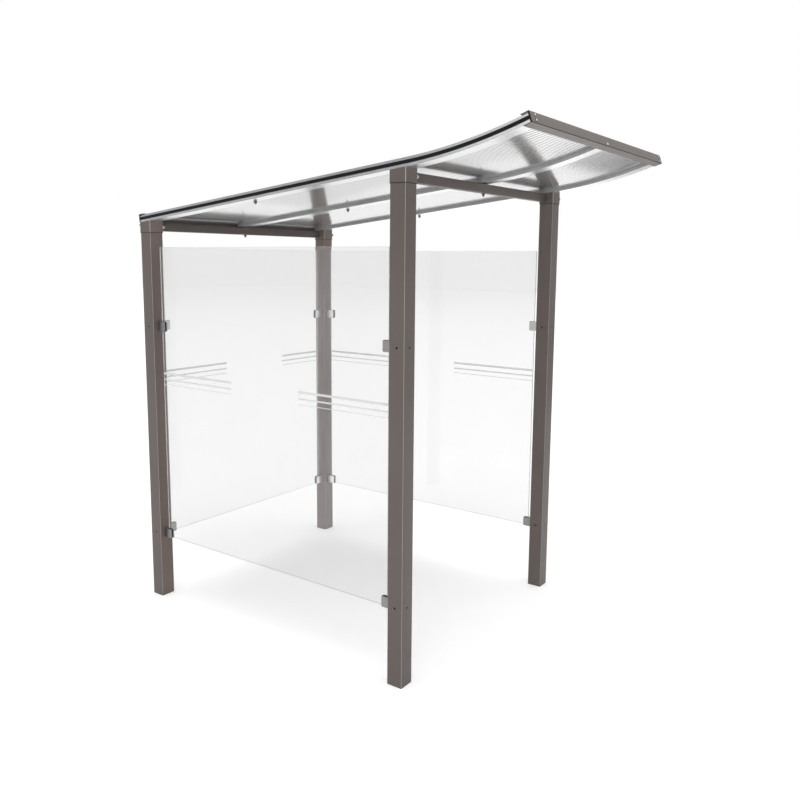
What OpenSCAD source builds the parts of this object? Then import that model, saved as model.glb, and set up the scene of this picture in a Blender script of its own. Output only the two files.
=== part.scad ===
// Cashier shelter: an open frame with four posts, three hanging glass panes and
// a pitched roof of two cellular sheets whose front edge curves upwards.
// Front (open side) faces -Y, +Z is up, the floor is at z = 0, millimetres.

/* [Posts] */
// Width of the square posts
post_w = 82; // [60:1:100]
// Wall of the post tubes
post_wall = 3; // [2:0.5:5]
// Outer corner radius of the post tubes
post_r = 3.5; // [3.5:0.5:10]
// Distance between post centres, left to right
span_x = 1427; // [1000:1:2200]
// Distance between post centres, front to rear
span_y = 1706; // [1200:1:2200]

/* [Collars] */
// Thickness of the sleeve around each post head
collar_wall = 3; // [2:0.5:6]
// Height of the sleeve, measured on the post's centre line
collar_h = 58; // [55:1:90]

/* [Crossbeams] */
// Height of the tubes between the collars
beam_h = 45; // [30:1:50]
// Depth of those tubes
beam_d = 40; // [25:1:40]
// Wall of those tubes
beam_wall = 3; // [2:0.5:5]

/* [Roof] */
// Height of the rafters' underside above the front post centres
roof_z = 2324; // [2200:1:2700]
// Pitch of the straight part of the roof, rising to the front
pitch = 6.2; // [3:0.1:10]
// Radius of the upward curve, at the rafters' underside
curve_r = 2600; // [2000:10:4000]
// Angle through which the front of the roof curves
curve_a = 13; // [8:0.1:16]
// Roof beyond the rear face of the rear posts
rear_overhang = 5; // [4:1:40]
// Width of a rafter
rafter_w = 76; // [60:1:90]
// Height of the rafter's lower bar
bar_h = 12.5; // [10:0.5:20]
// Thickness of the rubber under and over the sheets
gasket_t = 3; // [2:0.5:4]
// Thickness of the cellular sheets
sheet_t = 10; // [8:1:16]
// Height of the rafter's top cap
cap_h = 12.5; // [10:0.5:18]
// Half of the gap that a rafter leaves between its two sheets
sheet_gap = 12; // [8:1:16]

/* [Fascia] */
// Thickness of the folded channel, and of the angle at the rear
fascia_t = 3; // [2:0.5:4]
// Depth of their flanges, outside
fascia_d = 39; // [30:1:50]
// Play between the rafter caps and the top flanges
fascia_play = 1; // [0.8:0.1:2]
// Length by which they pass the outer rafters at each end
fascia_over = 2; // [1:0.5:6]

/* [Glass] */
// Thickness of the panes
glass_t = 8; // [6:1:12]
// Height of the panes' lower edge above the floor
glass_z = 355; // [250:1:365]
// Height of the panes
glass_h = 1645; // [1300:1:1660]
// Gap between a pane's edge and the post face
glass_gap = 28; // [20:1:32]

/* [Clamps] */
// Reach of a clamp from the post face
clamp_l = 57; // [48:1:80]
// Height of a clamp
clamp_h = 52; // [40:1:70]
// Thickness of each cheek of a clamp
clamp_cheek = 6; // [4:0.5:8]
// Thickness of the rubber pad on each side of the glass
pad_t = 2; // [1.5:0.5:3]
// Rubber that shows around the cheeks
pad_rim = 1; // [1:0.5:3]
// Height of the lower clamps' centres above the floor
clamp_low = 376; // [370:1:500]
// Height of the upper clamps' centres above the floor
clamp_high = 1565; // [1300:1:1600]

/* [Hidden] */
eps = 1;
arc_fn = 720;
round_fn = 48;
foot_plate = 6;
collar_w = post_w + 2 * collar_wall;
groove = 2;
seal_h = sheet_t + 2 * gasket_t;
sheet_z = bar_h + gasket_t;
rafter_h = bar_h + seal_h + cap_h;
seal_inset = 1.5;
slot_back = glass_gap - 2;
clamp_t = glass_t + 2 * pad_t + 2 * clamp_cheek;
clamp_r = 5;
bolt_r = 5;
washer_r = 9;
washer_t = 2;
nut_r = 9;
nut_h = 7;
side_bolt_out = 16;
rear_bolt_out = 34;
side_bolt_y = -28;
rear_bolt_x = -20;
rear_bolt_rise = 12;

// Roof line: the curve starts over the front faces of the front posts
curve_y = -(span_y + post_w) / 2;
curve_z = roof_z + tan(pitch) * post_w / 2;
roof_back = (span_y + post_w + rear_overhang) / cos(pitch);
end_a = pitch + curve_a;
end_u = -curve_r * sin(curve_a);
end_v = curve_r * (1 - cos(curve_a));
end_y = curve_y + end_u * cos(pitch) + end_v * sin(pitch);

// The origin is the middle of the outer box at floor level
front_tip = end_y - fascia_t * (cos(end_a) + sin(end_a));
rear_tip = (span_y + collar_w) / 2 + rear_bolt_out;
shift_x = -side_bolt_out / 2;
shift_y = -(front_tip + rear_tip) / 2;

// Height of the roof underside at a distance y from the frame's middle
function under_z(y) = roof_z - (y + span_y / 2) * tan(pitch);

// ---- helpers ----

module placed() {
    translate([shift_x, shift_y, 0]) children();
}

// Frame whose origin is the curve's start on the rafters' underside,
// with +Y down the roof to the rear and +Z square to the roof
module on_roof() {
    placed() translate([0, curve_y, curve_z]) rotate([-pitch, 0, 0]) children();
}

// The same frame at the front end of the curve
module on_front_edge() {
    on_roof() translate([0, end_u, end_v]) rotate([-curve_a, 0, 0]) children();
}

module rounded_rect(w, d, r) {
    square([w - 2 * r, d], center = true);
    square([w, d - 2 * r], center = true);
    for (sx = [-1, 1], sy = [-1, 1])
        translate([sx * (w / 2 - r), sy * (d / 2 - r)]) circle(r = r, $fn = round_fn);
}

module square_tube(outer, inner, outer_r, inner_r, h) {
    linear_extrude(h) difference() {
        rounded_rect(outer, outer, outer_r);
        rounded_rect(inner, inner, inner_r);
    }
}

// Everything above the roof's underside, over one post
module above_roof(sy) {
    translate([-post_w, sy * span_y / 2, under_z(sy * span_y / 2)])
        rotate([-pitch, 0, 0]) translate([0, -post_w, 0]) cube([2 * post_w, 2 * post_w, 2 * post_w]);
}

// Side view of one layer of the roof, from height a to height b
module roof_layer_2d(a, b) {
    far = 1.05 * curve_r;
    translate([0, a]) square([roof_back, b - a]);
    intersection() {
        translate([0, curve_r]) difference() {
            circle(r = curve_r - a, $fn = arc_fn);
            circle(r = curve_r - b, $fn = arc_fn);
        }
        polygon([
            [0, curve_r],
            [0, curve_r - far],
            [-far * sin(curve_a), curve_r - far * cos(curve_a)]
        ]);
    }
}

// A layer of the roof between two widths, measured from a rafter's centre
module roof_layer(x0, x1, a, b) {
    translate([x0, 0, 0]) rotate([90, 0, 90]) linear_extrude(x1 - x0) roof_layer_2d(a, b);
}

// Where a rafter stands: -1 left, 0 middle, 1 right
module at_rafter(side) {
    on_roof() translate([side * span_x / 2, 0, 0]) children();
}

// ---- frame ----

module post(sx, sy) {
    rough_h = under_z(sy * span_y / 2) + post_w;
    placed() color([0.42, 0.39, 0.37]) difference() {
        translate([sx * span_x / 2, sy * span_y / 2, 0]) union() {
            square_tube(post_w, post_w - 2 * post_wall, post_r, max(0.5, post_r - post_wall), rough_h);
            linear_extrude(foot_plate) rounded_rect(post_w - post_wall, post_w - post_wall, post_r);
        }
        translate([sx * span_x / 2, 0, 0]) above_roof(sy);
    }
}

module collar(sx, sy) {
    low = under_z(sy * span_y / 2) - collar_h;
    placed() color([0.42, 0.39, 0.37]) difference() {
        translate([sx * span_x / 2, sy * span_y / 2, low])
            square_tube(collar_w, post_w, post_r + collar_wall, post_r, 2 * collar_h);
        translate([sx * span_x / 2, 0, 0]) above_roof(sy);
    }
}

// Washer, nut and bolt end that stand out of a collar, along +Z
module bolt_end(out) {
    cylinder(r = washer_r, h = washer_t, $fn = round_fn);
    cylinder(r = nut_r, h = washer_t + nut_h, $fn = 6);
    cylinder(r = bolt_r, h = out, $fn = round_fn);
}

module collar_bolts() {
    placed() color([0.7, 0.7, 0.7])
    for (sx = [-1, 1], sy = [-1, 1])
        translate([sx * span_x / 2, sy * span_y / 2, under_z(sy * span_y / 2) - collar_h / 2]) {
            translate([collar_w / 2, side_bolt_y, 0]) rotate([0, 90, 0]) bolt_end(side_bolt_out);
            translate([rear_bolt_x, collar_w / 2, rear_bolt_rise])
                rotate([-90, 0, 0]) bolt_end(rear_bolt_out);
        }
}

module crossbeam(sy) {
    len = span_x - collar_w;
    top = under_z(sy * span_y / 2 + post_w / 2);
    placed() color([0.38, 0.35, 0.33])
    translate([-len / 2, sy * span_y / 2 + post_w / 2 - beam_d, top - beam_h]) difference() {
        cube([len, beam_d, beam_h]);
        translate([-eps, beam_wall, beam_wall])
            cube([len + 2 * eps, beam_d - 2 * beam_wall, beam_h - 2 * beam_wall]);
    }
}

// ---- roof ----

// Lower bar, with a groove along each side
module rafter(side) {
    w = rafter_w / 2;
    third = (bar_h - groove) / 2;
    color([0.75, 0.76, 0.77]) at_rafter(side) {
        roof_layer(-w, w, 0, third);
        roof_layer(-w + groove, w - groove, third, third + groove);
        roof_layer(-w, w, third + groove, bar_h);
    }
}

// Black seal between bar and cap: a block, and lips under and over each sheet's edge
module rafter_seal(side) {
    w = rafter_w / 2 - seal_inset;
    left = side < 0 ? w : sheet_gap;
    right = side > 0 ? w : sheet_gap;
    color([0.07, 0.07, 0.07]) at_rafter(side) {
        roof_layer(-left, right, bar_h, bar_h + seal_h);
        roof_layer(-w, w, bar_h, sheet_z);
        roof_layer(-w, w, sheet_z + sheet_t, bar_h + seal_h);
    }
}

// Top cap: a skirt, a groove and a narrower crown
module rafter_cap(side) {
    w = rafter_w / 2;
    low = bar_h + seal_h;
    skirt = (cap_h - groove) / 2;
    crown_inset = 7;
    color([0.75, 0.76, 0.77]) at_rafter(side) {
        roof_layer(-w, w, low, low + skirt);
        roof_layer(-w + crown_inset + groove, w - crown_inset - groove, low + skirt, low + skirt + groove);
        roof_layer(-w + crown_inset, w - crown_inset, low + skirt + groove, rafter_h);
    }
}

module roof_sheet(side) {
    x0 = side < 0 ? -span_x / 2 + sheet_gap : sheet_gap;
    color([0.84, 0.86, 0.87, 0.6]) on_roof()
        roof_layer(x0, x0 + span_x / 2 - 2 * sheet_gap, sheet_z, sheet_z + sheet_t);
}

// Folded channel over the rafters' front ends
module fascia_channel() {
    len = span_x + rafter_w + 2 * fascia_over;
    inner_h = rafter_h + fascia_play;
    color([0.55, 0.52, 0.5]) on_front_edge() difference() {
        translate([-len / 2, -fascia_t, -fascia_t]) cube([len, fascia_d, inner_h + 2 * fascia_t]);
        translate([-len / 2 - eps, 0, 0]) cube([len + 2 * eps, fascia_d, inner_h]);
    }
}

// Folded angle that closes the rear ends of the rafters and sheets
module rear_angle() {
    len = span_x + rafter_w + 2 * fascia_over;
    flange_z = rafter_h + fascia_play;
    color([0.42, 0.39, 0.37]) on_roof() translate([-len / 2, roof_back, 0]) {
        cube([len, fascia_t, flange_z + fascia_t]);
        translate([0, fascia_t - fascia_d, flange_z]) cube([len, fascia_d, fascia_t]);
    }
}

// ---- glass and clamps ----

module pane(w) {
    translate([-w / 2, -glass_t / 2, glass_z]) cube([w, glass_t, glass_h]);
}

module glass_side(side) {
    placed() color([0.8, 0.86, 0.85, 0.3])
        translate([side * span_x / 2, 0, 0]) rotate([0, 0, 90]) pane(span_y - post_w - 2 * glass_gap);
}

module glass_rear() {
    placed() color([0.8, 0.86, 0.85, 0.3])
        translate([0, span_y / 2, 0]) pane(span_x - post_w - 2 * glass_gap);
}

// Forked clamp on a post face at the origin, reaching along +X
module clamp_body() {
    difference() {
        rotate([90, 0, 0]) translate([0, 0, -clamp_t / 2]) linear_extrude(clamp_t) union() {
            translate([0, -clamp_h / 2]) square([clamp_l - clamp_r, clamp_h]);
            translate([clamp_l - 2 * clamp_r, 0]) rounded_rect(4 * clamp_r, clamp_h, clamp_r);
        }
        translate([slot_back, -glass_t / 2 - pad_t, -clamp_h])
            cube([clamp_l, glass_t + 2 * pad_t, 2 * clamp_h]);
    }
}

// The two rubber pads inside one clamp
module clamp_pads() {
    for (s = [-1, 1])
        translate([glass_gap, s * (glass_t + pad_t) / 2 - pad_t / 2, -clamp_h / 2 - pad_rim])
            cube([clamp_l + pad_rim - glass_gap, pad_t, clamp_h + 2 * pad_rim]);
}

// Places a clamp on a side pane: side -1 left, 1 right; ends -1 front, 1 rear
module at_side_clamp(side, end, z) {
    placed() translate([side * span_x / 2, end * (span_y - post_w) / 2, z])
        rotate([0, 0, -90 * end]) children();
}

// Places a clamp on the rear pane: end -1 left, 1 right
module at_rear_clamp(end, z) {
    placed() translate([end * (span_x - post_w) / 2, span_y / 2, z])
        rotate([0, 0, end > 0 ? 180 : 0]) children();
}

module side_clamp(side, end, z) {
    color([0.6, 0.6, 0.6]) at_side_clamp(side, end, z) clamp_body();
}

module rear_clamp(end, z) {
    color([0.6, 0.6, 0.6]) at_rear_clamp(end, z) clamp_body();
}

module side_pads(side) {
    color([0.1, 0.1, 0.1])
        for (end = [-1, 1], z = [clamp_low, clamp_high]) at_side_clamp(side, end, z) clamp_pads();
}

module rear_pads() {
    color([0.1, 0.1, 0.1])
        for (end = [-1, 1], z = [clamp_low, clamp_high]) at_rear_clamp(end, z) clamp_pads();
}

post(-1, -1);  // post_front_left
post(1, -1);  // post_front_right
post(-1, 1);  // post_rear_left
post(1, 1);  // post_rear_right
collar(-1, -1);  // collar_front_left
collar(1, -1);  // collar_front_right
collar(-1, 1);  // collar_rear_left
collar(1, 1);  // collar_rear_right
collar_bolts();
crossbeam(-1);  // crossbeam_front
crossbeam(1);  // crossbeam_rear
rafter(-1);  // rafter_left
rafter(0);  // rafter_middle
rafter(1);  // rafter_right
rafter_seal(-1);  // rafter_seal_left
rafter_seal(0);  // rafter_seal_middle
rafter_seal(1);  // rafter_seal_right
rafter_cap(-1);  // rafter_cap_left
rafter_cap(0);  // rafter_cap_middle
rafter_cap(1);  // rafter_cap_right
roof_sheet(-1);  // roof_sheet_left
roof_sheet(1);  // roof_sheet_right
fascia_channel();
rear_angle();
glass_side(-1);  // glass_left
glass_side(1);  // glass_right
glass_rear();
side_clamp(-1, -1, clamp_low);  // clamp_left_front_lower
side_clamp(-1, -1, clamp_high);  // clamp_left_front_upper
side_clamp(-1, 1, clamp_low);  // clamp_left_rear_lower
side_clamp(-1, 1, clamp_high);  // clamp_left_rear_upper
side_clamp(1, -1, clamp_low);  // clamp_right_front_lower
side_clamp(1, -1, clamp_high);  // clamp_right_front_upper
side_clamp(1, 1, clamp_low);  // clamp_right_rear_lower
side_clamp(1, 1, clamp_high);  // clamp_right_rear_upper
rear_clamp(-1, clamp_low);  // clamp_rear_left_lower
rear_clamp(-1, clamp_high);  // clamp_rear_left_upper
rear_clamp(1, clamp_low);  // clamp_rear_right_lower
rear_clamp(1, clamp_high);  // clamp_rear_right_upper
side_pads(-1);  // clamp_pads_left
side_pads(1);  // clamp_pads_right
rear_pads();  // clamp_pads_rear
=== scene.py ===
# %% [markdown]
# This lesson dresses a cashier shelter: four powder-coated steel posts, three hanging panes of
# toughened glass, and a lean-to roof of two clear cellular sheets held in aluminium glazing bars,
# with a front edge that curves upwards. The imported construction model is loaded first. It is a
# fixed frame: its sound parts keep their shape and get a finish, and the parts that need finer
# detail than a construction model holds are modelled here in the same place. Units are metres,
# the open front looks along -Y, and the floor is at Z = 0.

# %% Load the construction model
import math

import bmesh
import bpy
from mathutils import Matrix, Vector


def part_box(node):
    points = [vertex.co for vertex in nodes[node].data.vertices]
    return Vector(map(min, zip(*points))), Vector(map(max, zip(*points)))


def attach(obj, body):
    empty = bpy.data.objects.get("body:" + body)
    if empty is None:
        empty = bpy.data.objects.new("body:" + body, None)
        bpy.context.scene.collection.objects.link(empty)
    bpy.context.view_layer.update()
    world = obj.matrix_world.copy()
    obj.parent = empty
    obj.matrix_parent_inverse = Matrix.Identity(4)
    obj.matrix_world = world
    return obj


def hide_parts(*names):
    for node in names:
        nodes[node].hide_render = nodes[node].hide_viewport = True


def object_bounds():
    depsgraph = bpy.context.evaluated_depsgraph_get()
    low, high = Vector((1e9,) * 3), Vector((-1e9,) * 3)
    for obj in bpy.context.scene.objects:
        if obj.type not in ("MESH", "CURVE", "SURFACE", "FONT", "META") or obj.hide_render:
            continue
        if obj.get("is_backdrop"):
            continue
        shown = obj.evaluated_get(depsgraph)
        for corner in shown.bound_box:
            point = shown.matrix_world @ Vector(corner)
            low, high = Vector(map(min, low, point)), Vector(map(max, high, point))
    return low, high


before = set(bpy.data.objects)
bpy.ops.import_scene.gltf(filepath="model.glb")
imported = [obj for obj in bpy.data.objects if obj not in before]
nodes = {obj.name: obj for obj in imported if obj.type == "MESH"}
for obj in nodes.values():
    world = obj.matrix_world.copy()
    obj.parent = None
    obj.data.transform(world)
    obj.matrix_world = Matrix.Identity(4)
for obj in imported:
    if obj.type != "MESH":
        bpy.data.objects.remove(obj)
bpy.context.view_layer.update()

# %% [markdown]
# Modelling by hand always goes the same way: nothing is selected, a primitive is added, faces or
# edges are picked, and an operator works on what is picked. These helpers keep that order. The
# pick is made in code, by where a face or edge lies, because a script has no mouse.

# %% Helpers for modelling
SHARP_ANGLE, SMOOTH_ANGLE = 35, 30


def object_mode():
    if bpy.context.mode != "OBJECT":
        bpy.ops.object.mode_set(mode="OBJECT")


def pick_all():
    bpy.ops.mesh.select_all(action="SELECT")


def start(shape, name, stretch=(1, 1, 1), **sizes):
    """Adds a primitive as the only selected object and opens it in edit mode."""
    object_mode()
    bpy.ops.object.select_all(action="DESELECT")
    getattr(bpy.ops.mesh, f"primitive_{shape}_add")(**sizes)
    piece = bpy.context.object
    piece.name = piece.data.name = name
    piece.scale = stretch
    bpy.ops.object.transform_apply()
    bpy.ops.object.mode_set(mode="EDIT")
    return piece


def pick(piece, kind, test):
    """Selects the VERT, EDGE or FACE elements whose middle passes test, and counts them."""
    bpy.ops.mesh.select_mode(type=kind)
    bpy.ops.mesh.select_all(action="DESELECT")
    shape = bmesh.from_edit_mesh(piece.data)
    found = 0
    for item in {"VERT": shape.verts, "EDGE": shape.edges, "FACE": shape.faces}[kind]:
        if kind == "VERT":
            middle = item.co
        elif kind == "EDGE":
            middle = (item.verts[0].co + item.verts[1].co) / 2
        else:
            middle = item.calc_center_median()
        if test(middle, item):
            item.select_set(True)
            found += 1
    bmesh.update_edit_mesh(piece.data)
    return found


def slice_at(piece, **planes):
    """Cuts right through the piece at each given place, such as x=[0.1, 0.2]."""
    for axis, places in planes.items():
        along = Vector([float(axis == a) for a in "xyz"])
        for place in places:
            pick_all()
            bpy.ops.mesh.bisect(plane_co=along * place, plane_no=along)


def pull(x=0.0, y=0.0, z=0.0):
    """Extrudes what is picked by that much."""
    bpy.ops.mesh.extrude_region_move(TRANSFORM_OT_translate={"value": (x, y, z)})


def apply_modifier(piece, kind, **settings):
    """Adds a modifier and applies it at once."""
    object_mode()
    bpy.context.view_layer.objects.active = piece
    modifier = piece.modifiers.new(kind.title(), kind)
    for key, value in settings.items():
        setattr(modifier, key, value)
    bpy.ops.object.modifier_apply(modifier=modifier.name)


def soften_edges(piece, width, segments=2):
    """Rounds every sharp edge, as a tool or a mould leaves it."""
    apply_modifier(piece, "BEVEL", width=width, segments=segments, limit_method="ANGLE",
                   angle_limit=math.radians(SHARP_ANGLE), harden_normals=False)


def shade():
    """Shades the active piece smooth, except across its sharp edges."""
    bpy.ops.object.shade_smooth_by_angle(angle=math.radians(SMOOTH_ANGLE))


def tidy(piece, outward=True):
    """Merges doubles, turns faces outwards and shades the piece."""
    if bpy.context.mode != "EDIT":
        bpy.ops.object.mode_set(mode="EDIT")
    pick_all()
    bpy.ops.mesh.remove_doubles(threshold=1e-6)
    if outward:
        bpy.ops.mesh.normals_make_consistent(inside=False)
    object_mode()
    shade()


def copy_of(piece, name, shift=(0, 0, 0), turn=None):
    """A copy with its own mesh, moved by shift, or turned by a matrix first."""
    twin = piece.copy()
    twin.data = piece.data.copy()
    twin.name = twin.data.name = name
    bpy.context.collection.objects.link(twin)
    twin.data.transform(Matrix.Translation(shift) @ (turn or Matrix()))
    return twin


def editable_copy(node, name):
    """A copy of a construction node with doubles merged and its flat faces made whole."""
    twin = copy_of(nodes[node], name)
    bpy.ops.object.select_all(action="DESELECT")
    twin.select_set(True)
    bpy.context.view_layer.objects.active = twin
    bpy.ops.mesh.customdata_custom_splitnormals_clear()
    tidy(twin, outward=False)
    bpy.ops.object.mode_set(mode="EDIT")
    bpy.ops.mesh.dissolve_limited(angle_limit=math.radians(0.1))
    object_mode()
    return twin


def settle(piece, material, slot, *stands_for):
    """Gives a finished piece its finish, its body and the nodes that it stands for."""
    if material:
        piece.data.materials.clear()
        piece.data.materials.append(material)
    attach(piece, "root")
    if stands_for:
        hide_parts(*stands_for)


def join(name, *parts):
    """Makes one mesh of several parts, under one name."""
    bpy.ops.object.select_all(action="DESELECT")
    for part in parts:
        part.select_set(True)
    bpy.context.view_layer.objects.active = parts[0]
    bpy.ops.object.join()
    parts[0].name = parts[0].data.name = name
    return parts[0]


# %% [markdown]
# A material is a small graph. These helpers start one, add a node with its values, wire two nodes
# together and put a pattern on the shader, so that a recipe below reads like a list of steps. The
# noises are placed by Object coordinates, which are metres here, so a scale of 1000 makes a grain
# of one millimetre.

# %% Helpers for materials
def recipe(name, **constants):
    """A new material, its graph, its Principled shader with these constants, and coordinates."""
    material = bpy.data.materials.new(name)
    material.use_nodes = True
    graph = material.node_tree
    shader = graph.nodes["Principled BSDF"]
    for key, value in constants.items():
        shader.inputs[key.replace("_", " ")].default_value = value
    place = graph.nodes.new("ShaderNodeTexCoord")
    return material, graph, shader, place


def add(graph, kind, **values):
    """Adds a node; each value goes to the socket, or else to the setting, of that name."""
    node = graph.nodes.new("ShaderNode" + kind)
    for key, value in values.items():
        socket = node.inputs.get(key.replace("_", " "))
        if socket is None:
            setattr(node, key, value)
        else:
            socket.default_value = value
    return node


def wire(graph, source, target, out=0, into=0):
    graph.links.new(source.outputs[out], target.inputs[into])


def stretched(graph, place, scale):
    """Object coordinates, squeezed or stretched by scale along X, Y and Z."""
    mapping = add(graph, "Mapping", Scale=scale)
    wire(graph, place, mapping, "Object", "Vector")
    return mapping


def speckle(graph, source, scale, detail=2.0, out=0):
    noise = add(graph, "TexNoise", Scale=scale, Detail=detail)
    wire(graph, source, noise, out, "Vector")
    return noise


def between(graph, source, low, high, out="Fac", lowest=0.3, highest=0.7):
    """Maps a pattern's spread onto the values low to high."""
    spread = add(graph, "MapRange", From_Min=lowest, From_Max=highest, To_Min=low, To_Max=high)
    wire(graph, source, spread, out, "Value")
    return spread


def tint(graph, source, dark, light, out="Fac", lowest=0.3, highest=0.7):
    """Turns a pattern into colour, from dark at its lowest to light at its highest."""
    ramp = add(graph, "ValToRGB")
    ramp.color_ramp.elements[0].position = lowest
    ramp.color_ramp.elements[0].color = (*dark, 1)
    ramp.color_ramp.elements[1].position = highest
    ramp.color_ramp.elements[1].color = (*light, 1)
    wire(graph, source, ramp, out, "Fac")
    return ramp


def patterned(graph, source, shader, tones, gloss, out="Fac", spread=(0.3, 0.7)):
    """One pattern moves the colour between two tones and the roughness between two values."""
    wire(graph, tint(graph, source, *tones, out, *spread), shader, "Color", "Base Color")
    wire(graph, between(graph, source, *gloss, out, *spread), shader, "Result", "Roughness")


def relief(graph, source, shader, depth, out="Fac", strength=1.0):
    bump = add(graph, "Bump", Strength=strength, Distance=depth)
    wire(graph, source, bump, out, "Height")
    wire(graph, bump, shader, "Normal", "Normal")


# %% [markdown]
# The frame is steel with a fine-textured powder coat. The powder melts into tiny mounds about a
# millimetre across, so the gloss is broken up by a shallow relief, and the tone drifts a little
# from place to place with the thickness of the film. Every rounded edge is painted a lighter tone: a painted
# highlight for the line of light that a corner catches. The edge is found from the surface's own direction:
# on a flat face one part of the normal is nearly 1, and on a rounded corner none is. The folded parts are
# cut to length last, and their cut ends, the faces that look along X, are painted dark. Some coats differ in
# tone, which stands in for the light around them: the crossbeams are darker, as painted shade, and the
# fascia and the faces of the rear posts and their collars that look inwards are lighter, as painted light.

# %% Powder coat
def facing(graph, source, axis):
    """How squarely a surface faces along X, Y or Z, from 0 to 1."""
    size = add(graph, "Math", operation="ABSOLUTE")
    wire(graph, source, size, axis, 0)
    return size


def larger(graph, first, second):
    most = add(graph, "Math", operation="MAXIMUM")
    wire(graph, first, most, 0, 0)
    wire(graph, second, most, 0, 1)
    return most


def layered(graph, mask, under, over, out="Color"):
    """The colour from under where the mask is 0 and the tone over where it is 1."""
    mix = add(graph, "Mix", data_type="RGBA", blend_type="MIX")
    wire(graph, mask, mix, 0, 0)
    wire(graph, under, mix, out, 6)
    mix.inputs[7].default_value = (*over, 1)
    return mix


def powder_coat(name, dark, light, edge, gloss, cut_ends=None):
    material, graph, shader, place = recipe(name)
    drift = speckle(graph, place, 2.2, 3.0, "Object")
    surface = add(graph, "NewGeometry")
    parts = add(graph, "SeparateXYZ")
    wire(graph, surface, parts, "Normal", "Vector")
    across = facing(graph, parts, "X")
    flat = larger(graph, larger(graph, across, facing(graph, parts, "Y")), facing(graph, parts, "Z"))
    # Painted highlight: rounded edges, where no part of the normal is near 1, take the lighter edge tone.
    edge_highlight_mask = between(graph, flat, 1.0, 0.0, 0, EDGE_FULL, EDGE_NONE)
    colour = layered(graph, edge_highlight_mask, tint(graph, drift, dark, light), edge)
    # The faces that look along X, the cut ends, are painted dark.
    if cut_ends:
        sawn = between(graph, across, 0.0, 1.0, 0, CUT_NONE, CUT_FULL)
        colour = layered(graph, sawn, colour, cut_ends, 2)
    wire(graph, colour, shader, 2, "Base Color")
    film = speckle(graph, place, 55.0, 4.0, "Object")
    wire(graph, between(graph, film, gloss - 0.04, gloss + 0.05), shader, "Result", "Roughness")
    grain = speckle(graph, place, 900.0, 2.0, "Object")
    relief(graph, grain, shader, 0.00012, strength=0.5)
    return material


EDGE_FULL, EDGE_NONE = 0.76, 0.92
CUT_NONE, CUT_FULL = 0.9, 0.97
# The tone of the painted highlight on the posts' rounded edges.
EDGE_HIGHLIGHT = (0.50, 0.46, 0.43)
TAUPE_DARK, TAUPE_LIGHT = (0.1165, 0.0942, 0.0850), (0.1325, 0.1075, 0.0975)
post_paint = powder_coat("post_paint", TAUPE_DARK, TAUPE_LIGHT, EDGE_HIGHLIGHT, 0.42)
# The fascia's lighter coat is painted light, for its web that tilts up to the sky.
fascia_paint = powder_coat("fascia_paint", (0.198, 0.172, 0.158), (0.222, 0.193, 0.177),
                           (0.28, 0.25, 0.232), 0.40, cut_ends=(0.012, 0.012, 0.013))
# The rear angle has a weaker painted highlight on its edges, and its cut ends are painted dark.
angle_paint = powder_coat("angle_paint", TAUPE_DARK, TAUPE_LIGHT, (0.24, 0.21, 0.195), 0.42,
                          cut_ends=(0.05, 0.048, 0.046))
# Painted light: a lighter copy of the post paint for the rear posts' faces that look inwards.
painted_light_coat = powder_coat("painted_light_coat", (0.158, 0.1205, 0.1065), (0.180, 0.138, 0.1225),
                          EDGE_HIGHLIGHT, 0.42)
# Painted shade: a darker copy of the post paint for the crossbeams under the roof.
painted_shade_coat = powder_coat("painted_shade_coat", (0.088, 0.070, 0.063), (0.100, 0.081, 0.073),
                         (0.13, 0.11, 0.10), 0.42)
print("finish:", post_paint.name, painted_shade_coat.name, fascia_paint.name, angle_paint.name)

# %% [markdown]
# The glazing bars and caps are extruded aluminium, etched and anodised. The die leaves very fine lines along
# the whole length. They are a noise that is stretched a few hundred times along Y, and it moves the
# roughness and a shallow relief, so that highlights spread across the bar. Anodised aluminium is bright and
# a little blue, with cloudy patches from the etching bath. The bars' and caps' flanks are painted a darker
# tone, painted shade for faces that look sideways, which turns bright, as painted light, where the roof
# bends upwards at the front.

# %% Anodised aluminium
BENT_FRONT, BENT_BACK = -1.18, -0.6


def anodised(name, dark, light, polished=None):
    """Drawn aluminium; the optional last argument is a painted light tone for the bent front part."""
    material, graph, shader, place = recipe(name, Metallic=1.0)
    draw_lines = speckle(graph, stretched(graph, place, (1.0, 0.004, 1.0)), 1300.0, 2.0)
    clouds = speckle(graph, place, 9.0, 3.0, "Object")
    colour, out = tint(graph, clouds, dark, light), "Color"
    # Painted light: the flanks' tone turns to the lighter tone in the bent front part.
    if polished:
        parts = add(graph, "SeparateXYZ")
        wire(graph, place, parts, "Object", "Vector")
        bent = between(graph, parts, 1.0, 0.0, "Y", BENT_FRONT, BENT_BACK)
        colour, out = layered(graph, bent, colour, polished), 2
    wire(graph, colour, shader, out, "Base Color")
    wire(graph, between(graph, draw_lines, 0.22, 0.36), shader, "Result", "Roughness")
    relief(graph, draw_lines, shader, 0.00004, strength=0.4)
    return material


BRIGHT = (0.90, 0.905, 0.91)
aluminium = anodised("bar_aluminium", BRIGHT, (0.96, 0.963, 0.965))
# The flanks' darker tone is painted shade, and their bright front is painted light.
shade_and_light_flank_aluminium = anodised("shade_and_light_flank_aluminium", (0.46, 0.465, 0.47), (0.53, 0.535, 0.54), BRIGHT)
print("finish:", aluminium.name, shade_and_light_flank_aluminium.name)

# %% [markdown]
# The seals and pads are black EPDM rubber. It is never quite black: it has a grey bloom in soft
# patches, a faint satin sheen and a fine pitted skin, so that it keeps some shape in the shade.
# The same rubber comes in grey for the strips beside the sheets, a grey that also stands in for the bars'
# sides in shade, as painted shade. The beads in the fascia's lower fold and under the collars are a
# near-black brown sealant, painted shade for the shadow lines at those joints. All have the same skin, so
# they are copies in other tones.

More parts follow.
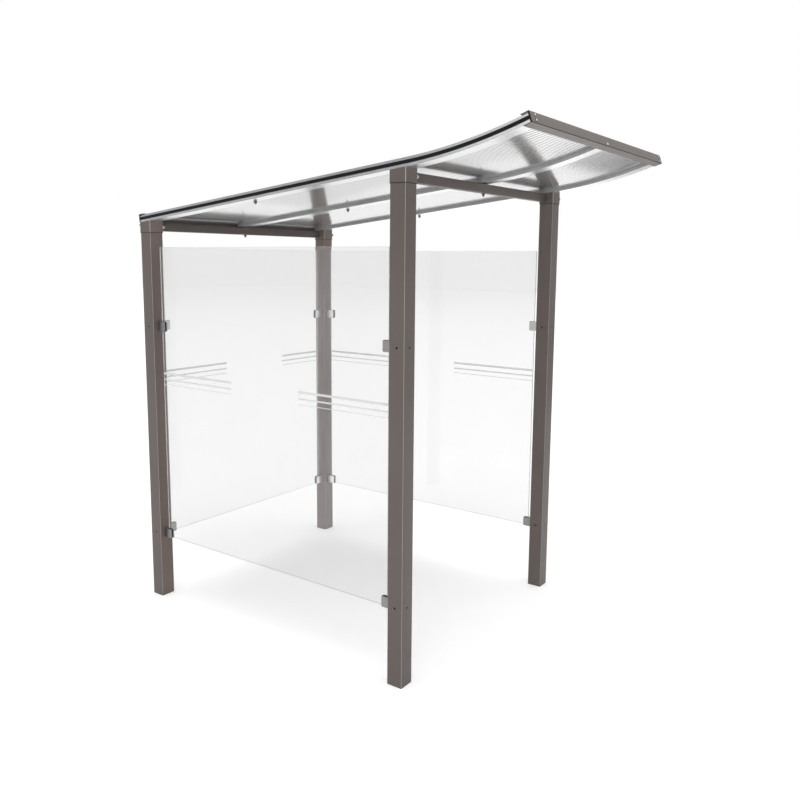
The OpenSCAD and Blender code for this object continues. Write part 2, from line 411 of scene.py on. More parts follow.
# %% Black rubber
def retoned(material, name, dark, light):
    """A copy of a finish whose colour ramp runs between two other tones."""
    twin = material.copy()
    twin.name = name
    for node in twin.node_tree.nodes:
        if node.bl_idname == "ShaderNodeValToRGB":
            node.color_ramp.elements[0].color = (*dark, 1)
            node.color_ramp.elements[1].color = (*light, 1)
    return twin


rubber, graph, shader, place = recipe("seal_rubber", Specular_IOR_Level=0.2)
bloom = speckle(graph, place, 30.0, 4.0, "Object")
patterned(graph, bloom, shader, ((0.004, 0.004, 0.005), (0.010, 0.010, 0.011)), (0.5, 0.68))
pits = speckle(graph, place, 1400.0, 2.0, "Object")
relief(graph, pits, shader, 0.00008, strength=0.5)
# The grey strips' tone partly stands in for the bars' sides in shade: painted shade.
grey_rubber = retoned(rubber, "grey_rubber", (0.36, 0.365, 0.365), (0.42, 0.425, 0.425))
# Painted shade: the near-black sealant beads stand in for shadow lines at joints.
shade_bead_sealant = retoned(rubber, "painted_shade_sealant", (0.014, 0.011, 0.010), (0.022, 0.018, 0.016))
print("finish:", rubber.name, grey_rubber.name, shade_bead_sealant.name)

# %% [markdown]
# Toughened glass is almost flat and almost clear. The rollers of the furnace leave a faint wave
# that only shows in reflections, and there is always a little dust in soft patches. The ground
# edges are another surface: frosted and greener, because light runs through the whole pane before
# it leaves there. So the pane gets one material for its faces and one for its edges. The faces
# bend light less than real glass does, which keeps the posts mirrored in them faint.

# %% Glass and its ground edges
pane_glass, graph, shader, place = recipe("pane_glass", IOR=1.33, Specular_IOR_Level=0.1)
dust = speckle(graph, place, 3.0, 5.0, "Object")
wire(graph, between(graph, dust, 0.950, 0.930), shader, "Result", "Transmission Weight")
patterned(graph, dust, shader, ((0.967, 0.969, 0.966), (0.979, 0.981, 0.978)), (0.0, 0.003))
roller_wave = speckle(graph, stretched(graph, place, (1.0, 1.0, 3.0)), 2.0, 0.0)
relief(graph, roller_wave, shader, 0.0006, strength=0.25)

glass_edge, graph, shader, place = recipe("pane_edge", Transmission_Weight=0.6, IOR=1.52)
grinding = speckle(graph, place, 700.0, 3.0, "Object")
patterned(graph, grinding, shader, ((0.62, 0.68, 0.66), (0.74, 0.79, 0.77)), (0.22, 0.42))
relief(graph, grinding, shader, 0.00006, strength=0.5)

# %% [markdown]
# The lines on the glass are a white ceramic ink that is baked in. It is a little uneven, because it is
# screen printed, and it lets some light through. On the right and rear panes it lets more through, so that
# those lines, which lie in the shelter's shade, read lighter: painted light.

# %% Ceramic ink
glass_print, graph, shader, place = recipe("glass_print", Alpha=0.82)
ink = speckle(graph, place, 260.0, 3.0, "Object")
patterned(graph, ink, shader, ((0.90, 0.905, 0.905), (0.94, 0.945, 0.945)), (0.45, 0.6))
relief(graph, ink, shader, 0.00003, strength=0.4)
# Painted light: a more see-through copy of the print for lines that lie in shade.
painted_light_print = glass_print.copy()
painted_light_print.name = "painted_light_print"
painted_light_print.node_tree.nodes["Principled BSDF"].inputs["Alpha"].default_value = 0.58
print("finish:", pane_glass.name, glass_edge.name, glass_print.name, painted_light_print.name)

# %% [markdown]
# The clear cellular sheet has glossy skins. The lower skin mirrors the posts and beams below it,
# softly, because it is never quite flat, and it carries a sun-shield layer as bright as thin
# foil, which grows hazier towards the bent front edge. Each rib shows through its skin as a duller
# line, where the plastic sinks a little as it cools. The line has to follow the ribs round the
# curve, so it can't be placed by Object coordinates: each sheet carries an attribute, the number of
# ribs up to that point, and the line lies where that number is whole. The ribs are a third
# material, milky and dull.

# %% Cellular sheet
LINE_HALF, LINE_FADE = 0.13, 0.22
LINE_SHARE = 0.35
BENT_RIBS = 48


def rib_lines(graph):
    """1 on the line over each rib and 0 between the lines."""
    counted = add(graph, "Attribute", attribute_name="rib_count")
    away = add(graph, "Math", operation="PINGPONG")
    wire(graph, counted, away, "Fac", 0)
    away.inputs[1].default_value = 0.5
    return between(graph, away, 1.0, 0.0, 0, LINE_HALF, LINE_FADE)


def hazed(graph, gloss, haze):
    """The clear skin's roughness: gloss on the straight part, haze at the bent front edge."""
    counted = add(graph, "Attribute", attribute_name="rib_count")
    return between(graph, counted, haze, gloss, "Fac", 0.0, BENT_RIBS)


def sheet_skin(name, strong, clear_tones, line_tone, gloss, haze, line_gloss):
    """A skin; strong is the shader's input that is full in the clear and weak on the lines."""
    material, graph, shader, place = recipe(name, IOR=1.58)
    line = rib_lines(graph)
    film = speckle(graph, place, 40.0, 3.0, "Object")
    sink = layered(graph, line, tint(graph, film, *clear_tones), line_tone)
    wire(graph, sink, shader, 2, "Base Color")
    rough = add(graph, "Mix", data_type="FLOAT")
    rough.inputs[3].default_value = line_gloss
    wire(graph, line, rough, 0, 0)
    wire(graph, hazed(graph, gloss, haze), rough, 0, 2)
    wire(graph, rough, shader, 0, "Roughness")
    relief(graph, line, shader, 0.0002, out=0, strength=0.02)
    wire(graph, between(graph, line, 1.0, LINE_SHARE, 0, 0.0, 1.0), shader, "Result", strong)
    return material


sheet_plastic = sheet_skin("sheet_plastic", "Transmission Weight",
                           ((0.86, 0.87, 0.875), (0.92, 0.925, 0.93)), (0.62, 0.62, 0.62),
                           0.04, 0.04, 0.4)
sheet_underside = sheet_skin("sheet_underside", "Metallic",
                             ((0.92, 0.922, 0.92), (0.96, 0.962, 0.96)), (0.26, 0.262, 0.262),
                             0.11, 0.19, 0.42)
sheet_ribs, graph, shader, place = recipe("sheet_ribs", Transmission_Weight=0.3, IOR=1.58)
milk = speckle(graph, place, 120.0, 3.0, "Object")
patterned(graph, milk, shader, ((0.40, 0.40, 0.40), (0.52, 0.52, 0.52)), (0.35, 0.5))
print("finish:", sheet_plastic.name, sheet_underside.name, sheet_ribs.name)

# %% [markdown]
# The clamps are stainless steel with a satin grind: short scratches that run up and down, made by squeezing
# a noise across the grain. The inner cheeks of the upper clamps are painted brighter, and all inner cheeks
# at the rear right post brighter still: painted light. The bolts, nuts and washers are zinc plated, which is
# blotchy and a little yellow, with crystals a few millimetres across. A very bright copy of the zinc, for
# the edge screws, is a painted highlight, and a dark copy, for the right-hand side bolts and the bolts under
# the roof, is painted shade.

# %% Satin steel and zinc
clamp_metal, graph, shader, place = recipe("clamp_metal", Metallic=1.0)
grind = speckle(graph, stretched(graph, place, (1.0, 1.0, 0.03)), 1500.0, 3.0)
patterned(graph, grind, shader, ((0.24, 0.24, 0.243), (0.33, 0.33, 0.333)), (0.32, 0.48))
relief(graph, grind, shader, 0.00005, strength=0.4)

zinc, graph, shader, place = recipe("zinc_fixings", Metallic=1.0)
flakes = add(graph, "TexVoronoi", Scale=260.0)
wire(graph, place, flakes, "Object", "Vector")
patterned(graph, flakes, shader, ((0.42, 0.415, 0.40), (0.60, 0.595, 0.58)), (0.28, 0.46),
          "Distance", (0.1, 0.8))
# Painted light: lighter copies of the clamp metal for inner cheeks.
painted_light_cheek = retoned(clamp_metal, "painted_light_cheek", (0.52, 0.52, 0.52), (0.62, 0.62, 0.62))
painted_brightest_cheek = retoned(clamp_metal, "painted_brightest_cheek", (0.93, 0.93, 0.93), (0.97, 0.97, 0.97))
# A very bright copy of the zinc is a painted highlight, and a dark copy is painted shade.
painted_highlight_zinc = retoned(zinc, "painted_highlight_screws", (0.80, 0.80, 0.79), (0.93, 0.93, 0.92))
painted_shade_zinc = retoned(zinc, "painted_shade_bolts", (0.10, 0.098, 0.094), (0.20, 0.197, 0.19))
print("finish:", clamp_metal.name, zinc.name, painted_highlight_zinc.name, painted_shade_zinc.name)

# %% [markdown]
# The construction model's own nodes get these finishes first, by the name of their slot. Those
# that keep their shape, the seals, are then done, and the others are replaced one by one.

# %% Dress the nodes
by_slot = {"post_paint": post_paint, "fascia_paint": fascia_paint, "bar_aluminium": aluminium,
           "sheet_plastic": sheet_plastic, "seal_rubber": rubber, "pane_glass": pane_glass,
           "clamp_metal": clamp_metal, "zinc_fixings": zinc}
for name, node in nodes.items():
    for holder in node.material_slots:
        holder.material = by_slot[holder.material.name.split(".")[0]]
print(len(nodes), "nodes dressed")

# %% [markdown]
# The roof line is straight from the rear to the front posts and then follows an arc. The real
# profiles are extruded straight and rolled afterwards, and the same is done here: each roof part
# is drawn flat, with Y along the slope and Z across its thickness, and is then laid on the roof
# line. The line's start comes from the construction model, at the front posts' front faces.

# %% The roof line
PITCH = math.radians(6.2)
CURVE = math.radians(13.0)
CURVE_RADIUS = 2.6
CURVE_STEPS = 52
OVERHANG = 0.005
roof_start_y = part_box("post_front_left")[0].y
roof_start_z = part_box("post_front_left")[1].z
roof_back = (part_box("post_rear_left")[1].y + OVERHANG - roof_start_y) / math.cos(PITCH)
roof_front = -CURVE * CURVE_RADIUS
frame_x = (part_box("post_front_left")[0].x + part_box("post_front_right")[1].x) / 2
span_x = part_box("post_front_right")[0].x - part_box("post_front_left")[0].x
rafter_x = {"left": frame_x - span_x / 2, "middle": frame_x, "right": frame_x + span_x / 2}


def on_roof_line(along, above):
    """The Y and Z of a point that far down the slope and above the rafters' underside."""
    if along >= 0:
        run, rise = along, above
    else:
        turned = -along / CURVE_RADIUS
        run = -(CURVE_RADIUS - above) * math.sin(turned)
        rise = CURVE_RADIUS - (CURVE_RADIUS - above) * math.cos(turned)
    y = roof_start_y + run * math.cos(PITCH) + rise * math.sin(PITCH)
    z = roof_start_z - run * math.sin(PITCH) + rise * math.cos(PITCH)
    return y, z


def lay_on_roof(piece):
    """Rolls a flat part onto the roof line, as the real profiles are rolled."""
    object_mode()
    for point in piece.data.vertices:
        point.co.y, point.co.z = on_roof_line(point.co.y, point.co.z)
    piece.data.update()


print("roof:", round(roof_back, 4), "straight,", round(-roof_front, 4), "curved")

# %% [markdown]
# Each roof sheet is clear twin-wall plastic, 10 mm thick: two thin skins held apart by ribs that
# run from rafter to rafter, about 11 mm apart. The ribs give the roof its fine stripes, and they
# bend light so much that a painted pattern can't replace them. A grid of one row is the side
# view, each of its faces is inset to leave the walls, the cells are deleted, and the ladder that
# is left is extruded across the bay.

# %% Twin-wall roof sheets
SHEET_LOW = 0.0155
SHEET_HEIGHT = 0.010
RIB_PITCH = 0.011
SKIN = 0.0005
SHEET_EDGE = 0.0125


def twinwall_sheet(name, left, right):
    length = roof_back - roof_front
    cells = round(length / RIB_PITCH)
    place = (left, (roof_back + roof_front) / 2, SHEET_LOW + SHEET_HEIGHT / 2)
    sheet = start("grid", name, stretch=(SHEET_HEIGHT, length, 1), x_subdivisions=1, y_subdivisions=cells,
                  size=1, location=place, rotation=(0, math.radians(90), 0))
    pick_all()
    bpy.ops.mesh.inset(thickness=SKIN, use_individual=True)
    bpy.ops.mesh.delete(type="FACE")
    pick_all()
    pull(x=right - left)
    tidy(sheet)
    count = sheet.data.attributes.new("rib_count", "FLOAT", "POINT")
    for number, point in zip(count.data, sheet.data.vertices):
        number.value = (point.co.y - roof_front) / length * cells
    for finish in (sheet_plastic, sheet_ribs, sheet_underside):
        sheet.data.materials.append(finish)
    for face in sheet.data.polygons:
        if abs(face.normal.y) > 0.9:
            face.material_index = 1
        elif face.normal.z < -0.9 and face.center.z < SHEET_LOW + SKIN / 2:
            face.material_index = 2
    lay_on_roof(sheet)
    return sheet


for side, left in (("left", frame_x - span_x / 2 + SHEET_EDGE), ("right", frame_x + SHEET_EDGE)):
    sheet = twinwall_sheet("twinwall_sheet_" + side, left, left + span_x / 2 - 2 * SHEET_EDGE)
    settle(sheet, None, "sheet_plastic", "roof_sheet_" + side)
    print(sheet.name, len(sheet.data.polygons), "faces")

# %% [markdown]
# A rafter is a sandwich: an aluminium bar below, a black rubber seal that grips the sheets, and an
# aluminium cap screwed down on top. The bar and the cap are extrusions, so each starts as its
# cross-section: a flat rectangle is sliced into strips, the strips that are air are deleted, and
# the rest is pulled along the roof, in one long pull and then in short ones round the curve.
# Towards the sheets, a grey rubber strip is pressed on the bar's side and covers the seal's edge; its grey
# also stands in for the bar's side in shade, as painted shade. A black rubber plug closes each rafter's
# front end, inside the channel that is made further on; its black also stands in for the shadow line where
# the rafter meets the fascia, as painted shade.

# %% Rafter bars and caps
RAFTER_WIDTH = 0.076
BAR_HEIGHT = 0.0125
CAP_LOW = 0.0285
CAP_HEIGHT = 0.0125
GROOVE = 0.002
CROWN_INSET = 0.007
STRIP = 0.0012
STRIP_LOW = 0.0003
PROFILE_RIM = 0.0006


def extrusion(name, width, low, height, cuts_x, cuts_z, is_air):
    """A roof profile about the middle of its rafter, pulled from the rear to the front edge."""
    piece = start("plane", name, size=1, stretch=(width, height, 1),
                  location=(0, roof_back, low + height / 2), rotation=(math.radians(90), 0, 0))
    slice_at(piece, x=[s * c for c in cuts_x for s in (-1, 1)], z=cuts_z)
    pick(piece, "FACE", lambda middle, face: is_air(abs(middle.x), middle.z))
    bpy.ops.mesh.delete(type="FACE")
    pick_all()
    pull(y=-roof_back)
    for _ in range(CURVE_STEPS):
        pull(y=roof_front / CURVE_STEPS)
    lay_on_roof(piece)
    tidy(piece)
    soften_edges(piece, min(PROFILE_RIM, width / 4))
    shade()
    return piece


RAFTER_HEIGHT = CAP_LOW + CAP_HEIGHT
PLUG_LENGTH, PLUG_PROUD = 0.006, 0.0004
half = RAFTER_WIDTH / 2
third = (BAR_HEIGHT - GROOVE) / 2
bar = extrusion("rafter_bar", RAFTER_WIDTH, 0.0, BAR_HEIGHT, [half - GROOVE], [third, third + GROOVE],
                lambda x, z: x > half - GROOVE and third < z < third + GROOVE)
skirt = CAP_LOW + (CAP_HEIGHT - GROOVE) / 2
crown = half - CROWN_INSET
cap = extrusion("rafter_top_cap", RAFTER_WIDTH, CAP_LOW, CAP_HEIGHT,
                [crown - GROOVE, crown], [skirt, skirt + GROOVE],
                lambda x, z: x > crown and z > skirt or x > crown - GROOVE and skirt < z < skirt + GROOVE)
for side, x in rafter_x.items():
    for first, node in ((bar, "rafter_"), (cap, "rafter_cap_")):
        piece = copy_of(first, first.name + "_" + side, (x, 0, 0))
        settle(piece, aluminium, "bar_aluminium", node + side)
        # Flanks take the darker aluminium: painted shade, turning to painted light at the front.
        piece.data.materials.append(shade_and_light_flank_aluminium)
        for face in piece.data.polygons:
            face.material_index = int(abs(face.normal.x) > 0.9)
strip = extrusion("side_strip", STRIP, STRIP_LOW, SHEET_LOW - 2 * STRIP_LOW, [], [], lambda x, z: False)
for name, rafter, beside in (("left", "left", 1), ("middle_left", "middle", -1),
                             ("middle_right", "middle", 1), ("right", "right", -1)):
    x = rafter_x[rafter] + beside * (half + STRIP / 2)
    settle(copy_of(strip, "side_strip_" + name, (x, 0, 0)), grey_rubber, "seal_rubber")
# The plug's black partly stands in for the shadow line at the fascia: painted shade.
plug = start("cube", "end_plug", size=1,
             stretch=(RAFTER_WIDTH + 2 * PLUG_PROUD, PLUG_LENGTH, RAFTER_HEIGHT - 2 * PLUG_PROUD),
             location=(0, roof_front + PLUG_LENGTH / 2, RAFTER_HEIGHT / 2))
lay_on_roof(plug)
tidy(plug)
soften_edges(plug, PLUG_PROUD / 2)
for side, x in rafter_x.items():
    settle(copy_of(plug, "end_plug_" + side, (x, 0, 0)), rubber, "seal_rubber")
for first in (bar, cap, strip, plug):
    print(first.name, len(first.data.polygons), "faces")
    bpy.data.objects.remove(first)

# %% [markdown]
# The front edge of the roof is closed by a channel and the rear edge by an angle, both folded from
# 3 mm sheet. A folded sheet has round corners, which catch a line of light, and a block can't show
# them. So each is modelled as a sheet: one strip for the web, its long edges extruded for the
# flanges, the folds bevelled round, and then a thickness. Both are made flat and tilted into place.

# %% Folded fascia and rear angle
FOLD = 0.003
FLANGE = 0.039
PLAY = 0.001
FOLD_RADIUS = 0.0045
FOLD_RIM = 0.0003
fascia_low, fascia_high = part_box("fascia_channel")
fascia_x = (fascia_low.x + fascia_high.x) / 2
fascia_width = fascia_high.x - fascia_low.x


def is_along(edge, axis):
    """True if an edge runs along the axis 0, 1 or 2."""
    run = edge.verts[1].co - edge.verts[0].co
    return abs(run[axis]) > 0.99 * run.length


def folded(name, bottom, outward, tilt, start_point, both_flanges):
    """A web from bottom up past the caps with one or two flanges, tilted about start_point."""
    top = RAFTER_HEIGHT + PLAY + FOLD
    sheet = start("plane", name, size=1, stretch=(fascia_width, top - bottom, 1),
                  location=(fascia_x, outward * FOLD, (top + bottom) / 2),
                  rotation=(math.radians(90), 0, 0))

    def is_fold(middle, edge):
        return is_along(edge, 0) and (both_flanges or middle.z > RAFTER_HEIGHT)

    pick(sheet, "EDGE", is_fold)
    pull(y=-outward * FLANGE)
    pick(sheet, "EDGE", lambda middle, edge: is_fold(middle, edge) and abs(middle.y - outward * FOLD) < 1e-5)
    bpy.ops.mesh.bevel(offset=FOLD_RADIUS, segments=6)
    pick_all()
    bpy.ops.mesh.normals_make_consistent(inside=False)
    apply_modifier(sheet, "SOLIDIFY", thickness=FOLD, offset=-1)
    tidy(sheet)
    soften_edges(sheet, FOLD_RIM)
    sheet.rotation_euler.x = -tilt
    sheet.location = (0, *start_point)
    bpy.ops.object.transform_apply()
    shade()
    return sheet


channel = folded("fascia_folded", -FOLD, -1, PITCH + CURVE, on_roof_line(roof_front, 0), True)
settle(channel, fascia_paint, "fascia_paint", "fascia_channel")
angle = folded("rear_angle_folded", 0.0, 1, PITCH, on_roof_line(roof_back, 0), False)
settle(angle, angle_paint, "post_paint", "rear_angle")
for piece, node in ((channel, "fascia_channel"), (angle, "rear_angle")):
    low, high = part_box(node)
    corners = [Vector(c) for c in piece.bound_box]
    print(piece.name, [round(min(c[i] for c in corners) - low[i], 5) for i in range(3)],
          [round(max(c[i] for c in corners) - high[i], 5) for i in range(3)])

# %% [markdown]
# The two crossbeams are rectangular tubes with the round corners that tube mills leave. A block
# loses its end faces, its four long edges are bevelled, and the skin gets the tube's wall.

# %% Crossbeams
BEAM_RADIUS = 0.005
BEAM_WALL = 0.003
for place in ("front", "rear"):
    low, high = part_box("crossbeam_" + place)
    beam = start("cube", "beam_tube_" + place, size=1, stretch=high - low, location=(low + high) / 2)
    pick(beam, "FACE", lambda middle, face: abs(face.normal.x) > 0.9)
    bpy.ops.mesh.delete(type="FACE")
    pick(beam, "EDGE", lambda middle, edge: is_along(edge, 0))
    bpy.ops.mesh.bevel(offset=BEAM_RADIUS, segments=5)
    apply_modifier(beam, "SOLIDIFY", thickness=BEAM_WALL, offset=-1)
    tidy(beam)
    # The beam takes the darker coat, painted shade.
    settle(beam, painted_shade_coat, "post_paint", "crossbeam_" + place)
    print(beam.name, len(beam.data.polygons), "faces")

# %% [markdown]
# Each post is drilled through at the height of its clamps, so that they can be bolted on from either side.
# The holes no clamp covers stay open and read as dark dots with a bright lip. The two rear posts get the
# lighter coat, painted light, on the faces that look into the shelter or to the front. The construction
# model's posts have no holes, so each is copied, its doubles are merged, and drills, which are plain
# cylinders, are taken away from it by a Boolean modifier.

# %% Drilled posts
HOLE_RADIUS, DRILL_DEPTH = 0.0054, 0.02
HOLE_HEIGHTS = (0.377, 1.5645)
HAS_CLAMP = {"front_left": ("+y",), "front_right": ("+y",),
             "rear_left": ("-y", "+x"), "rear_right": ("-y", "-x")}
FACES = {"-x": (-1, 0), "+x": (1, 0), "-y": (0, -1), "+y": (0, 1)}


def paint_post(piece, place, node):
    """Post paint all over, with the lighter coat, painted light, on a rear post's faces that look inwards.
    """
    settle(piece, post_paint, "post_paint", node)
    if place.startswith("rear"):
        inwards = 1 if place.endswith("left") else -1
        piece.data.materials.append(painted_light_coat)
        for face in piece.data.polygons:
            face.material_index = int(face.normal.y < -0.9 or inwards * face.normal.x > 0.9)


for place, covered in HAS_CLAMP.items():
    low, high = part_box("post_" + place)
    half_post = (high.x - low.x) / 2
    drills = []
    for face, (dx, dy) in FACES.items():
        if face in covered:
            continue
        lying = (0, math.radians(90), 0) if dx else (math.radians(90), 0, 0)
        for z in HOLE_HEIGHTS:
            centre = ((low.x + high.x) / 2 + dx * half_post, (low.y + high.y) / 2 + dy * half_post, z)
            drills.append(start("cylinder", "drill", vertices=24, radius=HOLE_RADIUS, depth=DRILL_DEPTH,
                                location=centre, rotation=lying))
    object_mode()
    drill = join("drills", *drills)
    post = editable_copy("post_" + place, "post_tube_" + place)
    apply_modifier(post, "BOOLEAN", operation="DIFFERENCE", object=drill, solver="EXACT")
    shade()
    paint_post(post, place, "post_" + place)
    print(post.name, len(drills), "holes,", len(post.data.polygons), "faces")
    bpy.data.objects.remove(drill)

# %% [markdown]
# A sleeve of 3 mm steel hugs each post head, where the crossbeams and the roof are bolted on. Its top is cut
# to the roof's pitch. The construction model has the right shape with perfectly sharp rims, so the sleeve is
# a copy of it whose rims are eased, as a file or a thick coat leaves them. A thin bead of near-black brown
# sealant closes the joint under the sleeve, all round the post, and stands in for the shadow line under the
# sleeve: painted shade.

# %% Collar sleeves
RIM = 0.0006
COLLAR_BEAD = 0.0024
for place in HAS_CLAMP:
    sleeve = editable_copy("collar_" + place, "collar_sleeve_" + place)
    soften_edges(sleeve, RIM)
    shade()
    paint_post(sleeve, place, "collar_" + place)
    low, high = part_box("post_" + place)
    under = Vector(((low.x + high.x) / 2, (low.y + high.y) / 2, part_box("collar_" + place)[0].z))
    width = high.x - low.x + 2 * COLLAR_BEAD
    # The bead under the sleeve is painted shade, for the shadow line there.
    bead = start("plane", "collar_bead_" + place, size=1, stretch=(width, width, 1), location=under)
    pick_all()
    bpy.ops.mesh.inset(thickness=1.5 * COLLAR_BEAD)
    bpy.ops.mesh.delete(type="FACE")
    apply_modifier(bead, "SOLIDIFY", thickness=COLLAR_BEAD, offset=-1)
    tidy(bead)
    soften_edges(bead, COLLAR_BEAD / 4)
    settle(bead, shade_bead_sealant, "seal_rubber")
    print(sleeve.name, len(sleeve.data.polygons), "faces, bead", len(bead.data.polygons), "faces")

# %% [markdown]
# Two bolts go through each sleeve, and their ends stand out with a washer and a nut, one sideways
# and one to the rear, which is long on the rear posts and trimmed on the front ones. The washer is
# a disc with eased rims. The nut is a prism of six sides whose corners are cut, as on every turned
# nut. The thread is a stack of ridges: a circle is pulled up by half a pitch and widened, then
# pulled up again and narrowed.

# %% Bolt ends
WASHER_RADIUS, WASHER_THICK, WASHER_RIM = 0.009, 0.002, 0.0004
NUT_RADIUS, NUT_THICK, NUT_CORNER, NUT_RIM = 0.009, 0.007, 0.0016, 0.0003
THREAD_RADIUS, THREAD_ROOT = 0.005, 0.0044
THREAD_PITCH = 0.0016


def thread(name, low, high):
    """A threaded rod from low to high, along Z."""
    rod = start("circle", name, vertices=20, radius=THREAD_ROOT, fill_type="NGON", location=(0, 0, low))
    wider = THREAD_RADIUS / THREAD_ROOT
    turns = int((high - low) / THREAD_PITCH)
    for _ in range(turns):
        for widen in (wider, 1 / wider):
            pull(z=(high - low) / turns / 2)
            bpy.ops.transform.resize(value=(widen, widen, 1))
    tidy(rod)
    return rod


def bolt_end(name, out):
    """Washer, nut and thread that stand out along +Z from the origin."""
    washer = start("cylinder", name, vertices=32, radius=WASHER_RADIUS, depth=WASHER_THICK,
                   location=(0, 0, WASHER_THICK / 2))
    tidy(washer)
    soften_edges(washer, WASHER_RIM)
    nut = start("cylinder", "nut", vertices=6, radius=NUT_RADIUS, depth=NUT_THICK,
                location=(0, 0, WASHER_THICK + NUT_THICK / 2))
    pick_all()
    bpy.ops.mesh.bevel(offset=NUT_CORNER, segments=2, affect="VERTICES")
    tidy(nut)
    soften_edges(nut, NUT_RIM, segments=1)
    return join(name, washer, nut, thread("thread", WASHER_THICK + NUT_THICK / 2, out))


SIDE_OUT, SHORT_OUT, REAR_OUT = 0.016, 0.011, 0.034
side_bolt = bolt_end("side_bolt", SIDE_OUT)
short_bolt = bolt_end("short_bolt", SHORT_OUT)
rear_bolt = bolt_end("rear_bolt", REAR_OUT)
SIDE_BOLT_Y, SIDE_BOLT_Z = -0.034, 0.029
REAR_BOLT_X, REAR_BOLT_Z = -0.020, 0.041
to_side = Matrix.Rotation(math.radians(90), 4, "Y")
to_rear = Matrix.Rotation(math.radians(-90), 4, "X")
ends = []
for place in HAS_CLAMP:
    low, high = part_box("collar_" + place)
    middle = (low + high) / 2
    ends.append(copy_of(side_bolt, "bolt", (high.x, middle.y + SIDE_BOLT_Y, low.z + SIDE_BOLT_Z), to_side))
    # The right-hand side bolts take the dark zinc, painted shade.
    ends[-1].data.materials.append(zinc if place.endswith("left") else painted_shade_zinc)
    bolt = rear_bolt if place.startswith("rear") else short_bolt
    ends.append(copy_of(bolt, "bolt", (middle.x + REAR_BOLT_X, high.y, low.z + REAR_BOLT_Z), to_rear))
    ends[-1].data.materials.append(zinc)
bolts = join("collar_bolt_ends", *ends)
settle(bolts, None, "zinc_fixings", "collar_bolts")
print(bolts.name, len(ends), "bolt ends,", len(bolts.data.polygons), "faces")

# %% [markdown]
# The roof is held down by more small fixings, which the construction model leaves out. A bolt
# goes through each rafter behind its middle, with a low domed head on the cap and a nut below,
# and heads like it stand over the posts and crossbeams. A bolt ends under the middle of each
# crossbeam too. A head is a short disc whose upper rim is rounded far in, with a socket for the
# key sunk into its top.

# %% Roof and beam bolts
HEAD_RADIUS, HEAD_THICK = 0.008, 0.0045
ROOF_BOLT_X, ROOF_BOLT_Y = 0.020, 0.33


def domed_head(name, radius, thick):
    """A domed head on the origin, along +Z, with a round socket."""
    head = start("cylinder", name, vertices=24, radius=radius, depth=thick, location=(0, 0, thick / 2))
    pick(head, "FACE", lambda middle, face: face.normal.z > 0.9)
    bpy.ops.mesh.bevel(offset=thick * 0.7, segments=4)
    pick(head, "FACE", lambda middle, face: face.normal.z > 0.99 and middle.z > thick * 0.99)
    bpy.ops.mesh.inset(thickness=radius * 0.12)
    pull(z=-thick * 0.45)
    tidy(head)
    return head


def down_slope(y):
    """The distance down the roof line at which the row's Y is reached."""
    return (y - roof_start_y) / math.cos(PITCH)


head = domed_head("domed_head", HEAD_RADIUS, HEAD_THICK)
square_to_roof = Matrix.Rotation(-PITCH, 4, "X")
underneath = square_to_roof @ Matrix.Rotation(math.radians(180), 4, "X")
over_front, over_rear = [sum(corner.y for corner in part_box("post_" + row + "_left")) / 2
                         for row in ("front", "rear")]
heads, roof_bolts = [], []
for x in rafter_x.values():
    for y, aside in ((over_front, 0.0), (ROOF_BOLT_Y, ROOF_BOLT_X), (over_rear, 0.0)):
        place = (x + aside, *on_roof_line(down_slope(y), RAFTER_HEIGHT))
        heads.append(copy_of(head, "cap_head", place, square_to_roof))
    place = (x + ROOF_BOLT_X, *on_roof_line(down_slope(ROOF_BOLT_Y), 0.0))
    roof_bolts.append(copy_of(side_bolt, "roof_bolt", place, underneath))
upside_down = Matrix.Rotation(math.radians(180), 4, "X")
for row in ("front", "rear"):
    low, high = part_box("crossbeam_" + row)
    place = (frame_x, (low.y + high.y) / 2, low.z)
    roof_bolts.append(copy_of(side_bolt, "beam_bolt", place, upside_down))
# The bolt ends under the roof take the dark zinc, painted shade.
for name, parts, finish in (("cap_heads", heads, zinc), ("roof_bolt_ends", roof_bolts, painted_shade_zinc)):
    piece = join(name, *parts)
    settle(piece, finish, "zinc_fixings")
    print(piece.name, len(parts), "fixings,", len(piece.data.polygons), "faces")
for first in (side_bolt, short_bolt, rear_bolt, head):
    bpy.data.objects.remove(first)

# %% [markdown]
# The fascia is screwed to the rafters' ends with bright pan-head screws, two at each outer rafter and one at
# the middle one, and the rear angle has one at each rafter. The screws' very bright zinc is a painted
# highlight. The fascia's outer four stand on black sealing washers, whose black also stands in for the shade
# round those screws. A bead of near-black brown sealant runs along the fascia's lower fold and reads as a
# dark line: painted shade, for the shadow line at the fold. The bead is a thin bar with rounded edges,
# tilted like the fascia about the same point.

# %% Fascia screws and sealant bead
SCREW_RADIUS, SCREW_THICK = 0.0050, 0.0024
SEAL_RADIUS, SEAL_THICK = 0.0078, 0.0008
LEFT_INSET, LEFT_HEIGHTS = 0.040, (0.033, 0.011)
RIGHT_INSET, RIGHT_HEIGHTS = 0.027, (0.033, 0.008)
MIDDLE_HEIGHT = 0.009
FASCIA_BEAD, BEAD_SHORTER = 0.0026, 0.002
front_edge = Matrix.Translation((0, *on_roof_line(roof_front, 0))) @ Matrix.Rotation(-PITCH - CURVE, 4, "X")
rear_edge = Matrix.Translation((0, *on_roof_line(roof_back, 0))) @ Matrix.Rotation(-PITCH, 4, "X")
facing_front = Matrix.Rotation(math.radians(90), 4, "X")
facing_rear = Matrix.Rotation(math.radians(-90), 4, "X")
screw = domed_head("pan_head", SCREW_RADIUS, SCREW_THICK)
